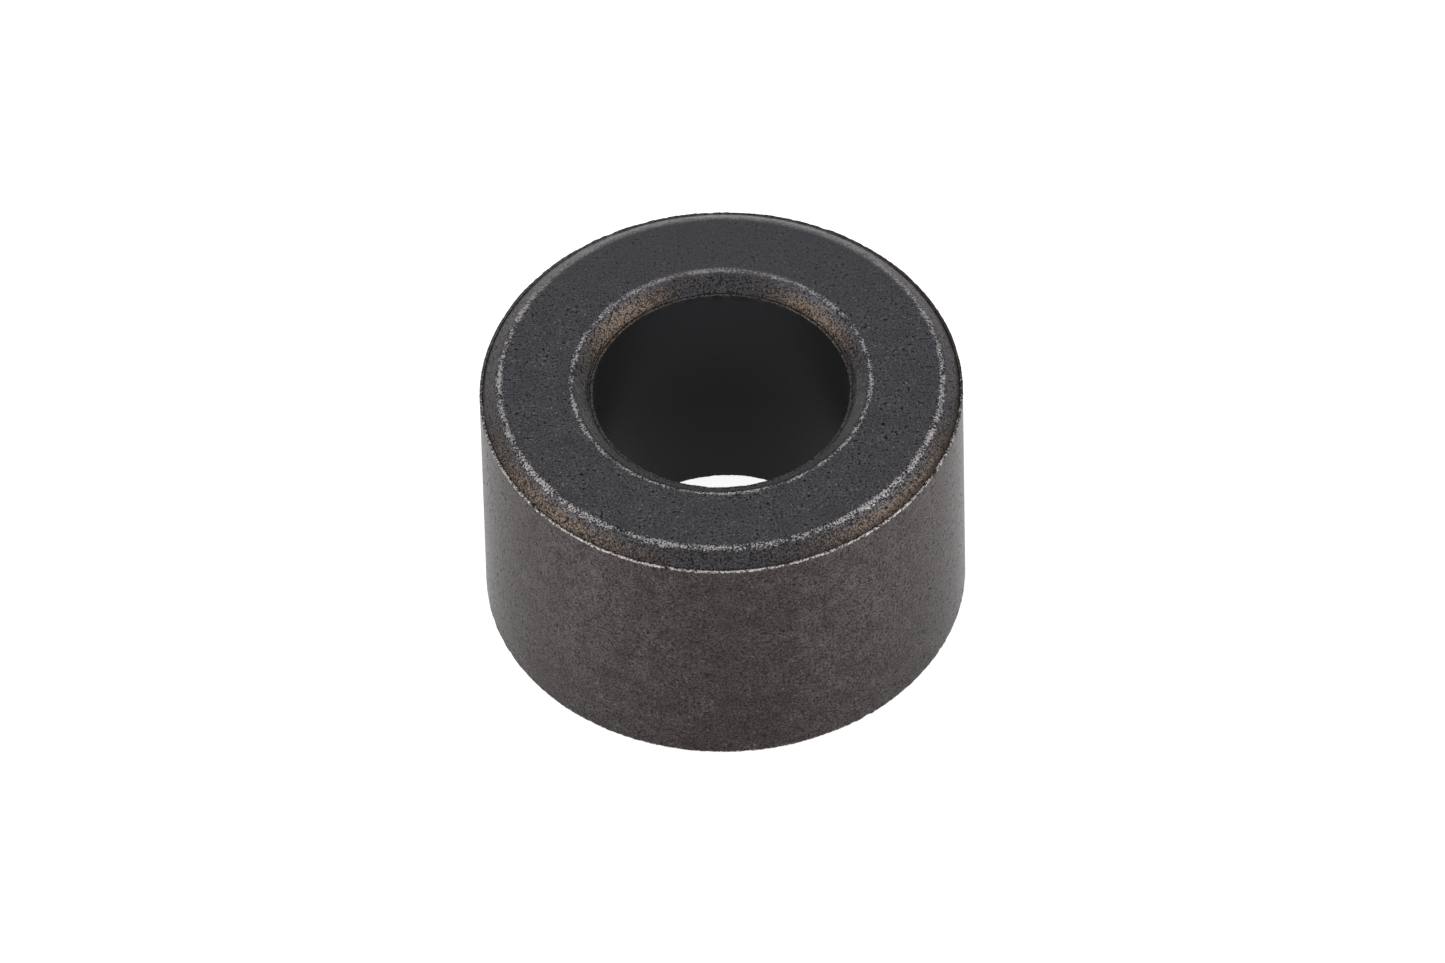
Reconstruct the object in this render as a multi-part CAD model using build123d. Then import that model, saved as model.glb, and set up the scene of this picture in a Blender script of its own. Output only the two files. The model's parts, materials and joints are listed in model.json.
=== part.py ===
"""Plain sleeve bushing, pressed and sintered from metal powder, in one piece.

The sleeve is a thick ring with a shaft bore through it.  Both ends are alike: a flat end
face between an outer lead chamfer, which guides the sleeve into its housing, and an inner
one, which guides the shaft into the bore.  The punch that forms a chamfer stops just short
of the die wall and of the core rod, so each chamfer ends at a narrow flat land and a small
lip that stands up at the wall.  Tumbling has rounded the edge where each chamfer meets the
end face.

Millimetres, +Z up the bore axis, origin on the axis in the plane of the lower end face.
"""

from build123d import *
from math import atan2, degrees
import os

# Driving dimensions
OUTER_DIAMETER = 16.0  # presses into the housing
BORE_DIAMETER = 8.5  # runs on the shaft
LENGTH = 10.0
CHAMFER_WIDTH = 0.66  # across the end face, outer and inner alike
CHAMFER_HEIGHT = 0.50  # along the axis
LAND_WIDTH = 0.05  # flat that the edge of a punch leaves beside the wall
STEP_HEIGHT = 0.03  # from that land up to the sharp edge of the wall
WORN_EDGE_RADIUS = 0.35  # rounding where a chamfer meets an end face

OUTER_RADIUS = OUTER_DIAMETER / 2
BORE_RADIUS = BORE_DIAMETER / 2


def end_corners(wall_radius, into_metal):
    """Corners of one chamfer of the upper end: at the end face, at the land and at the wall.

    into_metal is -1 where the metal lies inside wall_radius and +1 where it lies outside.
    """
    land_height = LENGTH - CHAMFER_HEIGHT - STEP_HEIGHT
    return [
        (wall_radius + into_metal * CHAMFER_WIDTH, LENGTH),
        (wall_radius + into_metal * LAND_WIDTH, land_height),
        (wall_radius + into_metal * LAND_WIDTH / 2, land_height),
        (wall_radius, LENGTH - CHAMFER_HEIGHT),
    ]


def upper_half_section():
    """The half of the section above mid length, as a face in the XZ plane."""
    middle = LENGTH / 2
    outer_end = reversed(end_corners(OUTER_RADIUS, -1))
    bore_end = end_corners(BORE_RADIUS, +1)
    outline = [(BORE_RADIUS, middle), (OUTER_RADIUS, middle), *outer_end, *bore_end]
    with BuildSketch(Plane.XZ) as section:
        with BuildLine():
            Polyline(*outline, close=True)
        make_face()
        face_corners = [v for v in section.vertices() if abs(v.Y - LENGTH) < 1e-6]
        fillet(face_corners, WORN_EDGE_RADIUS)
    return section.sketch


def bushing_sleeve():
    """The whole sleeve: its upper half turned about the bore axis, and its mirror image."""
    upper = revolve(upper_half_section(), axis=Axis.Z)
    lower = mirror(upper, about=Plane.XY.offset(LENGTH / 2))
    return (upper + lower).clean()


os.makedirs("parts", exist_ok=True)
sleeve = bushing_sleeve()
export_step(sleeve, "parts/bushing_sleeve.step")
chamfer_angle = degrees(atan2(CHAMFER_HEIGHT + STEP_HEIGHT, CHAMFER_WIDTH - LAND_WIDTH))
print("chamfer angle from the end face:", round(chamfer_angle, 1), "degrees")
print("volume:", round(sleeve.volume, 2), "mm3")
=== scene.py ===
import json
import math

import bmesh
import bpy
from mathutils import Matrix, Vector, noise


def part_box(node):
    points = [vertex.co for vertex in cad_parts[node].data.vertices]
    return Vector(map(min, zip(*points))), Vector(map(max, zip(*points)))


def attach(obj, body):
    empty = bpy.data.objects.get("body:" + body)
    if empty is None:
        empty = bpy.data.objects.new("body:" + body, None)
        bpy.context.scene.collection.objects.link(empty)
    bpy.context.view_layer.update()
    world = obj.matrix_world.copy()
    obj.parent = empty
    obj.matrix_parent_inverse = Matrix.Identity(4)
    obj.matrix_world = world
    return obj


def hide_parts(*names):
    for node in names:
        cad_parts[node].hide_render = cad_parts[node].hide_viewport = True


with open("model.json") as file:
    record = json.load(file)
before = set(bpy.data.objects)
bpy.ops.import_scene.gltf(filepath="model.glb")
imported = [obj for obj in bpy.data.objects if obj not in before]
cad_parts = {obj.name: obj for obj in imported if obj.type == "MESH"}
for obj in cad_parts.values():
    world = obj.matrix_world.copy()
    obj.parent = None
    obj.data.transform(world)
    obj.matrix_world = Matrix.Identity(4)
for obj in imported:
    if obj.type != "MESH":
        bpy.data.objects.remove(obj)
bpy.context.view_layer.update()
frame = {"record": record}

# ---------------------------------------------------------------------------------------
# The sleeve.  One ring of sintered bronze: powder pressed between two punches, a die and a
# core rod, then sintered, sized and soaked in oil.  The die and the core rod leave the outside
# and the bore smooth; the punches leave grainy end faces and chamfers.
# ---------------------------------------------------------------------------------------
MM = 0.001
mounts = {mount["name"]: mount for mount in frame["record"]["mounts"]}
WALL_RADIUS = mounts["housing_seat"]["dims"]["r_mm"]
BORE_RADIUS = mounts["shaft_bore"]["dims"]["r_mm"]
low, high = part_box("bushing_sleeve")
LENGTH = (high.z - low.z) / MM
MIDDLE = LENGTH / 2
CHAMFER_WIDTH = 0.66  # across the end face
CHAMFER_HEIGHT = (LENGTH - mounts["shaft_bore"]["dims"]["length_mm"]) / 2
OUTER_CORNER = WALL_RADIUS - CHAMFER_WIDTH  # where the end face meets the outer chamfer
BORE_CORNER = BORE_RADIUS + CHAMFER_WIDTH  # where it meets the bore chamfer
LIP_WIDTH = 0.10  # powder that crept up between the punch and the die
LIP_HEIGHT = 0.05
GROOVE_WIDTH = 0.05  # left beside the lip by the blunt edge of the punch
STEP_HEIGHT = 0.03  # from the foot of the chamfer up to the lip
LAND_WIDTH = 0.05
CHAMFER_SLOPE = (CHAMFER_HEIGHT + STEP_HEIGHT) / (CHAMFER_WIDTH - LAND_WIDTH)
FACE_MIDDLE = (OUTER_CORNER + BORE_CORNER) / 2  # radius halfway across the end face
EDGE_ROUNDING = 0.13  # left by tumbling where a chamfer meets an end face
TOUCHING = 1e-6
WEDGES = 36
WEDGE_STEPS = 30


def chamfered_edge(radius, into_metal):
    """Corners (radius, height) of one chamfered edge of the upper end, from wall to end face."""
    rim = LENGTH - CHAMFER_HEIGHT
    shoulder = LIP_WIDTH + GROOVE_WIDTH
    steps = [
        (0.0, rim - 0.30),
        (0.0, rim - 0.06),
        (0.0, rim - 0.015),
        (0.008, rim + 0.004),
        (LIP_WIDTH - 0.008, rim + 0.006),
        (LIP_WIDTH + 0.006, rim - 0.014),
        (LIP_WIDTH + GROOVE_WIDTH / 2, rim + 0.006 - LIP_HEIGHT),
        (shoulder, LENGTH - (CHAMFER_WIDTH - shoulder) * CHAMFER_SLOPE),
        (CHAMFER_WIDTH, LENGTH),
        (CHAMFER_WIDTH + 0.26, LENGTH),
    ]
    return [(radius + into_metal * step, level) for step, level in steps]


outer_edge = chamfered_edge(WALL_RADIUS, -1)
bore_edge = chamfered_edge(BORE_RADIUS, +1)
upper_half = outer_edge + bore_edge[::-1]
lower_half = [(radius, LENGTH - height) for radius, height in upper_half[::-1]]

shape = bmesh.new()
outline = [shape.verts.new((radius, 0, height)) for radius, height in upper_half + lower_half]
for ends in zip(outline, outline[1:] + outline[:1]):
    shape.edges.new(ends)


def is_end_corner(vert):
    """True where an end face meets one of its chamfers."""
    off_corner = min(abs(vert.co.x - OUTER_CORNER), abs(vert.co.x - BORE_CORNER))
    return abs(vert.co.z - MIDDLE) > MIDDLE - TOUCHING and off_corner < TOUCHING


bmesh.ops.bevel(
    shape, geom=[vert for vert in shape.verts if is_end_corner(vert)],
    offset=EDGE_ROUNDING, offset_type="OFFSET", segments=6, profile=0.5,
    affect="VERTICES", material=-1,
)
# Long edges are cut up finely enough to carry the grain.
chamfers = [e for e in shape.edges if 0.4 < e.calc_length() < CHAMFER_WIDTH + 0.1]
bmesh.ops.subdivide_edges(shape, edges=chamfers, cuts=3)
flats = [e for e in shape.edges if 1.0 < e.calc_length() < 4.0]
bmesh.ops.subdivide_edges(shape, edges=flats, cuts=2)
walls = [e for e in shape.edges if e.calc_length() > 4.0]
bmesh.ops.subdivide_edges(shape, edges=walls, cuts=6)

# A narrow wedge is spun first and then repeated all round, which is far quicker than one spin.
wedge_angle = 2 * math.pi / WEDGES
bmesh.ops.spin(
    shape, geom=shape.verts[:] + shape.edges[:], cent=(0, 0, 0), axis=(0, 0, 1),
    dvec=(0, 0, 0), angle=wedge_angle, steps=WEDGE_STEPS,
)
bmesh.ops.spin(
    shape, geom=shape.verts[:] + shape.edges[:] + shape.faces[:], cent=(0, 0, 0), axis=(0, 0, 1),
    dvec=(0, 0, 0), angle=2 * math.pi - wedge_angle, steps=WEDGES - 1, use_duplicate=True,
)
bmesh.ops.remove_doubles(shape, verts=shape.verts[:], dist=0.001)
bmesh.ops.recalc_face_normals(shape, faces=shape.faces[:])
shape.normal_update()


def near(value, target, reach):
    """1 at the target, falling smoothly to 0 a reach away."""
    share = max(0.0, 1.0 - abs(value - target) / reach)
    return share * share * (3 - 2 * share)


lip_highlights, grooves = [], []
for vert in shape.verts:
    place = vert.co.copy()
    radius = math.hypot(place.x, place.y)
    height = abs(place.z - MIDDLE)
    in_wall = min(WALL_RADIUS - radius, radius - BORE_RADIUS)  # how deep below its nearer wall
    rim = near(height, MIDDLE - CHAMFER_HEIGHT, 0.07)
    lip = rim * near(in_wall, LIP_WIDTH / 2 - 0.005, 0.09)
    groove = rim * near(in_wall, LIP_WIDTH + GROOVE_WIDTH / 2, 0.035)
    corner = near(height, MIDDLE, 0.09) * near(in_wall, CHAMFER_WIDTH, 0.2)
    on_chamfer = 1.0 if MIDDLE - CHAMFER_HEIGHT + 0.03 < height < MIDDLE - 0.02 else 0.0
    grain = noise.noise(place * 5.0)
    fine = noise.noise(place * 11.0 + Vector((7.0, 0.0, 0.0)))
    slow = noise.noise(place * 0.55 + Vector((0.0, 3.0, 11.0)))
    bite = max(0.0, noise.noise(place * 2.3 + Vector((0.0, 31.0, 0.0))) - 0.28)
    open_groove = min(1.0, max(0.0, 0.55 + 2.0 * slow + 0.8 * grain))
    if radius < FACE_MIDDLE:
        open_groove *= 0.3
    lift = lip * (0.022 * fine + 0.020 * grain + 0.015 * slow - 0.13 * bite)
    lift += corner * (0.010 * fine + 0.008 * grain - 0.06 * bite)
    lift += on_chamfer * 0.006 * grain
    lift += groove * 0.036 * (1.0 - open_groove)
    vert.co += vert.normal * lift
    # Painted highlight on the outer lip, as a bright edge catching the light, strongest at -Y
    # towards the camera; it never reaches the bore's lip.
    front_highlight = near(place.y / radius, -1.0, 1.25) ** 0.5 if radius > FACE_MIDDLE else 0.0
    unbroken = min(1.0, max(0.0, 1.25 + 0.5 * fine + 0.7 * grain + 0.9 * slow))
    lip_highlights.append(front_highlight * lip * unbroken)
    grooves.append(groove * open_groove)

bmesh.ops.scale(shape, vec=(MM, MM, MM), verts=shape.verts)
mesh = bpy.data.meshes.new("sintered_sleeve")
shape.to_mesh(mesh)
shape.free()
mesh.shade_smooth()
mesh.attributes.new("lip", "FLOAT", "POINT").data.foreach_set("value", lip_highlights)
mesh.attributes.new("groove", "FLOAT", "POINT").data.foreach_set("value", grooves)
sleeve = bpy.data.objects.new("sintered_sleeve", mesh)
bpy.context.scene.collection.objects.link(sleeve)

sintered_bronze = bpy.data.materials.new("sintered_bronze")
sintered_bronze.use_nodes = True
nodes = sintered_bronze.node_tree.nodes
links = sintered_bronze.node_tree.links
nodes.clear()


class Wire:
    """A shader socket that takes part in Python sums; every operator adds one Math node."""

    def __init__(self, socket):
        self.socket = socket

    def math(self, operation, *others):
        return Wire.node("ShaderNodeMath", {"operation": operation}, self, *others)["Value"]

    def __add__(self, other):
        return self.math("ADD", other)

    def __sub__(self, other):
        return self.math("SUBTRACT", other)

    def __mul__(self, other):
        return self.math("MULTIPLY", other)

    def __truediv__(self, other):
        return self.math("DIVIDE", other)

    def __rsub__(self, other):
        return self * -1 + other

    __radd__ = __add__
    __rmul__ = __mul__

    def between(self, start, end):
        """0 below start, 1 above end, and smooth in between; start may be the larger."""
        return Wire.node(
            "ShaderNodeMapRange", {"interpolation_type": "SMOOTHSTEP"},
            Value=self, **{"From Min": start, "From Max": end},
        )["Result"]

    def around(self, target, reach):
        """1 where the value is the target, falling to 0 a reach away."""
        return (self - target).math("ABSOLUTE").between(reach, 0.0)

    @staticmethod
    def node(kind, settings, *values, **named):
        """Adds a node, sets it, then feeds its sockets; returns its outputs by name."""
        node = nodes.new(kind)
        for name, setting in settings.items():
            setattr(node, name, setting)
        fed = list(enumerate(values)) + [
            (next(i for i, s in enumerate(node.inputs) if s.name == name and s.enabled), value)
            for name, value in named.items()
        ]
        for index, value in fed:
            if isinstance(value, Wire):
                links.new(value.socket, node.inputs[index])
            else:
                node.inputs[index].default_value = value
        return {s.name: Wire(s) for s in node.outputs if s.enabled}


def noise_at(where, scale, detail=2.0, roughness=0.5):
    """Soft noise around 0.5, with `scale` lumps in each unit of the coordinate."""
    return Wire.node(
        "ShaderNodeTexNoise", {"noise_dimensions": "3D"},
        Vector=where, Scale=scale, Detail=detail, Roughness=roughness,
    )["Fac"]


def blend(share, first, second):
    """One colour turning into another as the share goes from 0 to 1."""
    return Wire.node(
        "ShaderNodeMix", {"data_type": "RGBA"}, Factor=share, A=first, B=second
    )["Result"]


def stretched(where, x, y, z):
    """The coordinate with each axis multiplied."""
    return Wire.node(
        "ShaderNodeVectorMath", {"operation": "MULTIPLY"}, where, (x, y, z)
    )["Vector"]


millimetres = stretched(
    Wire.node("ShaderNodeTexCoord", {})["Object"], 1 / MM, 1 / MM, 1 / MM
)
apart = Wire.node("ShaderNodeSeparateXYZ", {}, millimetres)
radius = (apart["X"] * apart["X"] + apart["Y"] * apart["Y"]).math("SQRT")
height = (apart["Z"] - MIDDLE).math("ABSOLUTE")  # from mid length, so both ends are alike

# The metal's grain: particles and pores up to a tenth of a millimetre across, slow stains,
# and faint marks that the die has drawn along the outside.
fine = noise_at(millimetres, 17.0, detail=1.0, roughness=0.6)
grain = noise_at(millimetres, 9.0, detail=2.0, roughness=0.6)
speck = noise_at(millimetres, 15.5, detail=1.0, roughness=0.7)
cloud = noise_at(millimetres, 1.3, detail=3.0, roughness=0.6)
streak = noise_at(stretched(millimetres, 6.0, 6.0, 0.35), 1.0, detail=2.0)
pore_noise = noise_at(millimetres, 8.8, detail=1.0, roughness=0.5)
fine_pores = (pore_noise + (cloud - 0.5) * 0.34).between(0.63, 0.69)
pits = Wire.node(
    "ShaderNodeTexVoronoi", {"feature": "F1"}, Vector=millimetres, Scale=0.9
)["Distance"].between(0.08, 0.05)
pores = fine_pores.math("MAXIMUM", pits)
glints = (noise_at(millimetres, 12.0, detail=0.0) + (cloud - 0.5) * 0.3).between(0.70, 0.80)

# Zones, each a share from 0 to 1: the walls, the rounded edges, the chamfers and their lips.
depth = (WALL_RADIUS - radius).math("MINIMUM", radius - BORE_RADIUS)  # below the nearer wall
below_end = height.between(MIDDLE - CHAMFER_HEIGHT - 0.06, MIDDLE - CHAMFER_HEIGHT)
wall = 1 - below_end
outside = radius.between(WALL_RADIUS - 0.02, WALL_RADIUS - 0.01) * wall
bore_wall = radius.between(BORE_RADIUS + 0.02, BORE_RADIUS + 0.01) * wall
inwards = radius.between(OUTER_CORNER, BORE_CORNER) * 2 - 1  # 1 beside the bore, -1 outside
edge = (depth + (cloud - 0.5) * 0.05 - inwards * 0.02).around(
    CHAMFER_WIDTH + 0.03, 0.17 - inwards * 0.02
)
edge = edge * below_end
rubbed = speck * 0.7 + fine * 0.3 + edge * 0.17 + (cloud - 0.5) * 0.45
worn = rubbed.between(0.60, 0.75) * edge.between(0.0, 0.5)
pitted = speck.between(0.47, 0.33) * edge.between(0.0, 0.4)
back = apart["Y"].between(1.5, 6.5)  # the +Y side, less handled
worn = worn * (1 - back * 0.75) + edge * back * 0.20
chamfer = depth.between(CHAMFER_WIDTH - 0.03, CHAMFER_WIDTH - 0.16) * below_end
# The lip attribute carries the painted highlight of the outer lip.
lip_highlight_share = Wire.node("ShaderNodeAttribute", {"attribute_name": "lip"})["Fac"]
lip = (lip_highlight_share + (speck - 0.5) * 1.6 + (grain - 0.5) * 1.4).between(0.18, 0.78)
lip = lip * lip_highlight_share.between(0.0, 0.12)
groove = Wire.node("ShaderNodeAttribute", {"attribute_name": "groove"})["Fac"]

# Bronze, the metal's own colour, shows on the outer chamfer towards its two -Y corners and on
# the bore chamfer towards its two +Y corners, the lower part of each the most;
# it is laid only where the soft boxes' sheen falls, so its placement is a painted sheen.
eastward = apart["X"] / radius
sideways = eastward.math("ABSOLUTE") + (cloud - 0.5) * 0.5
facing = apart["Y"] / radius * inwards + (cloud - 0.5) * 0.5
kept_dark = eastward.between(0.0, 0.5).math("MAXIMUM", inwards.between(0.0, -0.5))
lower_chamfer = (
    depth + kept_dark * 0.11 + (grain - 0.5) * 0.3 + (cloud - 0.5) * 0.4
).between(CHAMFER_WIDTH - 0.01, CHAMFER_WIDTH - 0.24)
bronze_and_sheen = sideways.between(0.15, 0.60) * facing.between(0.0, 0.55) * below_end
# Painted light: the -Y side of the bore chamfer is made lighter and less metallic, and the sides
# and back of the outer one paler, as lit patches.
bore_chamfer_painted_light = facing.between(0.30, -0.40) * inwards * depth.between(0.09, 0.15)
outer_chamfer_sheen = sideways.between(0.3, 0.9) * inwards.between(0.5, -0.5) * facing.between(0.6, 0.0) * 0.27
# Oil has gathered along the outer lip, most of it on the +X side, where it fills the groove.
oiled = depth.between(0.30, 0.14) * eastward.between(-0.1, 0.9) * (1 - inwards) * 0.4
smeared = eastward.between(0.3, 0.95)

# Colours, all of a dark oily metal, some of them carrying painted light and shade.
END_FACE_DARK = (0.024, 0.0235, 0.0255, 1)
END_FACE_LIGHT = (0.094, 0.092, 0.100, 1)
OUTSIDE_DARK = (0.021, 0.018, 0.0175, 1)
OUTSIDE_LIGHT = (0.079, 0.0655, 0.063, 1)
OUTSIDE_SIDE_SHEEN = (0.126, 0.109, 0.109, 1)
CHAMFER_DARK = (0.012, 0.011, 0.012, 1)
CHAMFER_LIGHT = (0.080, 0.075, 0.077, 1)
BORE_CHAMFER_PAINTED_LIGHT = (0.150, 0.147, 0.148, 1)
OUTER_CHAMFER_SHEEN = (0.190, 0.182, 0.183, 1)
BRONZE_DARK = (0.010, 0.009, 0.009, 1)
BRONZE_LIGHT = (0.107, 0.083, 0.067, 1)
OILED = (0.034, 0.029, 0.024, 1)
GLINT = (0.15, 0.145, 0.145, 1)
WORN = (0.38, 0.355, 0.35, 1)
LIP_HIGHLIGHT = (0.51, 0.475, 0.465, 1)
BORE_LOWER_SHADE = (0.013, 0.013, 0.014, 1)
BORE_RIM = (0.037, 0.038, 0.041, 1)
PORE_AND_SHADE = (0.008, 0.008, 0.009, 1)

# From the end face and the outside to the chamfers, then what lies over them.
mottle = (fine * 0.62 + grain * 0.30 + cloud * 0.18 - 0.05).between(0.30, 0.70)
streaked = (
    fine * 0.66 + grain * 0.26 + cloud * 0.22 + streak * 0.05 - 0.095
).between(0.32, 0.68)
# The +Y side of the end faces is burnished, so its grain and pores hardly show.
burnish = (apart["Y"] + (cloud - 0.5) * 3.0).between(2.0, 6.5) * (1 - outside) * 0.65
end_face = (mottle - 0.48) * (1 - burnish) + 0.48
colour = blend(end_face, END_FACE_DARK, END_FACE_LIGHT)
# Painted sheen: the outside is lighter towards its left and right sides, where it reflects more
# light.
outside_light_and_sheen = blend(sideways.between(0.1, 0.75), OUTSIDE_LIGHT, OUTSIDE_SIDE_SHEEN)
outside_colour = blend(streaked, OUTSIDE_DARK, outside_light_and_sheen)
# Painted shade: the outside darkens towards its lower end, where it reflects the shaded floor
# beside it.
outside_colour = blend(apart["Z"].between(7.5, -2.0) * 0.30, outside_colour, OUTSIDE_DARK)
colour = blend(outside, colour, outside_colour)
colour = blend(glints * (1 - burnish) * (1 - outside * 0.5), colour, GLINT)
gritty = (speck * 0.55 + fine * 0.45).between(0.34, 0.64)
colour = blend(chamfer, colour, blend(gritty, CHAMFER_DARK, CHAMFER_LIGHT))
# Painted light on the -Y side of the bore chamfer.
colour = blend(chamfer * bore_chamfer_painted_light, colour, blend(gritty, CHAMFER_LIGHT, BORE_CHAMFER_PAINTED_LIGHT))
# Painted sheen at the sides of the outer chamfer.
colour = blend(chamfer * outer_chamfer_sheen, colour, blend(gritty, CHAMFER_LIGHT, OUTER_CHAMFER_SHEEN))
# Bronze of the metal, placed as a painted sheen where the soft boxes reflect.
colour = blend(lower_chamfer * bronze_and_sheen, colour, blend(gritty, BRONZE_DARK, BRONZE_LIGHT))
colour = blend(chamfer * oiled, colour, OILED)
open_pores = pores * (0.9 - outside * 0.4 - chamfer * 0.5)
holes = open_pores.math("MAXIMUM", pitted * 0.8) * (1 - burnish * 0.6)
colour = blend(holes, colour, PORE_AND_SHADE)
colour = blend(worn, colour, WORN)
# Painted highlight along the outer lip.
colour = blend(lip, colour, LIP_HIGHLIGHT)
# The groove beside each lip is darkened: partly oil lying in it, partly painted shade in the
# recess.
colour = blend(groove * (1 - back * 0.7) * (1 - smeared * 0.6), colour, PORE_AND_SHADE)
# Painted shade: the bore wall darkens towards its lower end.
bore_colour = blend(apart["Z"].between(4.0, LENGTH), BORE_LOWER_SHADE, BORE_RIM)
colour = blend(bore_wall, colour, bore_colour)

rough_metal = (1 - bore_wall) * (1 - burnish)
roughness = 0.30 + (grain - 0.5) * 0.15 + pores * rough_metal * 0.25 + bore_wall * 0.2
metal = 1 - bore_wall * 0.15 - chamfer * bore_chamfer_painted_light * 0.4
RELIEF = 0.03  # from the grains down to the pores
hollow = grain * 0.5 + fine * 0.4 - pores * 0.8
surface = Wire.node(
    "ShaderNodeBump", {}, Strength=1.0, Distance=RELIEF * MM, Height=hollow * rough_metal
)["Normal"]
shader = Wire.node(
    "ShaderNodeBsdfPrincipled", {},
    **{
        "Base Color": colour, "Metallic": metal, "Roughness": roughness, "Normal": surface,
        "Specular Tint": (0.70, 0.69, 0.69, 1),
    },
)["BSDF"]
Wire.node("ShaderNodeOutputMaterial", {}, shader)

mesh.materials.append(sintered_bronze)
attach(sleeve, "root")
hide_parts("bushing_sleeve")

# ---------------------------------------------------------------------------------------
# The studio: a white table under soft light, with a soft box at each side.
# ---------------------------------------------------------------------------------------
bpy.context.scene.view_settings.view_transform = "Standard"

table_mesh = bpy.data.meshes.new("table")
top = bmesh.new()
bmesh.ops.create_grid(top, x_segments=1, y_segments=1, size=1.5)
top.to_mesh(table_mesh)
top.free()
table = bpy.data.objects.new("table", table_mesh)
bpy.context.scene.collection.objects.link(table)
paper = bpy.data.materials.new("white_paper")
paper.use_nodes = True
paper_shader = paper.node_tree.nodes["Principled BSDF"]
paper_shader.inputs["Base Color"].default_value = (0.30, 0.30, 0.30, 1)
paper_shader.inputs["Roughness"].default_value = 0.9
paper_shader.inputs["Specular IOR Level"].default_value = 0.0
paper_shader.inputs["Emission Color"].default_value = (1, 1, 1, 1)
paper_shader.inputs["Emission Strength"].default_value = 0.92
table_mesh.materials.append(paper)

world = bpy.data.worlds.new("soft_light")
bpy.context.scene.world = world
world.use_nodes = True
sky = world.node_tree.nodes["Background"]
sky.inputs["Color"].default_value = (0.97, 0.98, 1.0, 1)
sky.inputs["Strength"].default_value = 1.0

BOX_WIDTH, BOX_HEIGHT = 0.40, 0.32
BOX_WATTS = 0.95


def soft_box(name, place):
    """A rectangular area light at `place`, turned to face the sleeve."""
    light = bpy.data.lights.new(name, "AREA")
    light.shape = "RECTANGLE"
    light.size, light.size_y = BOX_WIDTH, BOX_HEIGHT
    light.energy = BOX_WATTS
    box = bpy.data.objects.new(name, light)
    box.location = place
    box.rotation_euler = (-Vector(place)).to_track_quat("-Z", "Y").to_euler()
    bpy.context.scene.collection.objects.link(box)


soft_box("left_soft_box", (-0.46, -0.10, 0.27))
soft_box("right_soft_box", (0.46, -0.10, 0.27))

# ---------------------------------------------------------------------------------------
# The camera: a long lens looking down on the upper end and the front of the sleeve.
# ---------------------------------------------------------------------------------------
FOCAL_LENGTH = 529.8
DISTANCE = 0.7031
ELEVATION = math.radians(48.14)
TURN = math.radians(-1.454)  # the camera is held a little askew
upper_centre = Vector((0, 0, high.z))
eye = upper_centre + DISTANCE * Vector((0, -math.cos(ELEVATION), math.sin(ELEVATION)))
right = Vector((1, 0, 0))
up = Vector((0, math.sin(ELEVATION), math.cos(ELEVATION)))
ASIDE, BELOW = 0.034 * MM, 3.325 * MM  # the view's middle, from the middle of the upper end
aim = upper_centre - ASIDE * right - BELOW * up

lens = bpy.data.cameras.new("camera")
lens.sensor_width = 36
lens.lens = FOCAL_LENGTH
lens.clip_start = 0.01
camera = bpy.data.objects.new("camera", lens)
bpy.context.scene.collection.objects.link(camera)
turn = (aim - eye).to_track_quat("-Z", "Y").to_matrix() @ Matrix.Rotation(TURN, 3, "Z")
camera.matrix_world = Matrix.Translation(eye) @ turn.to_4x4()
bpy.context.scene.camera = camera
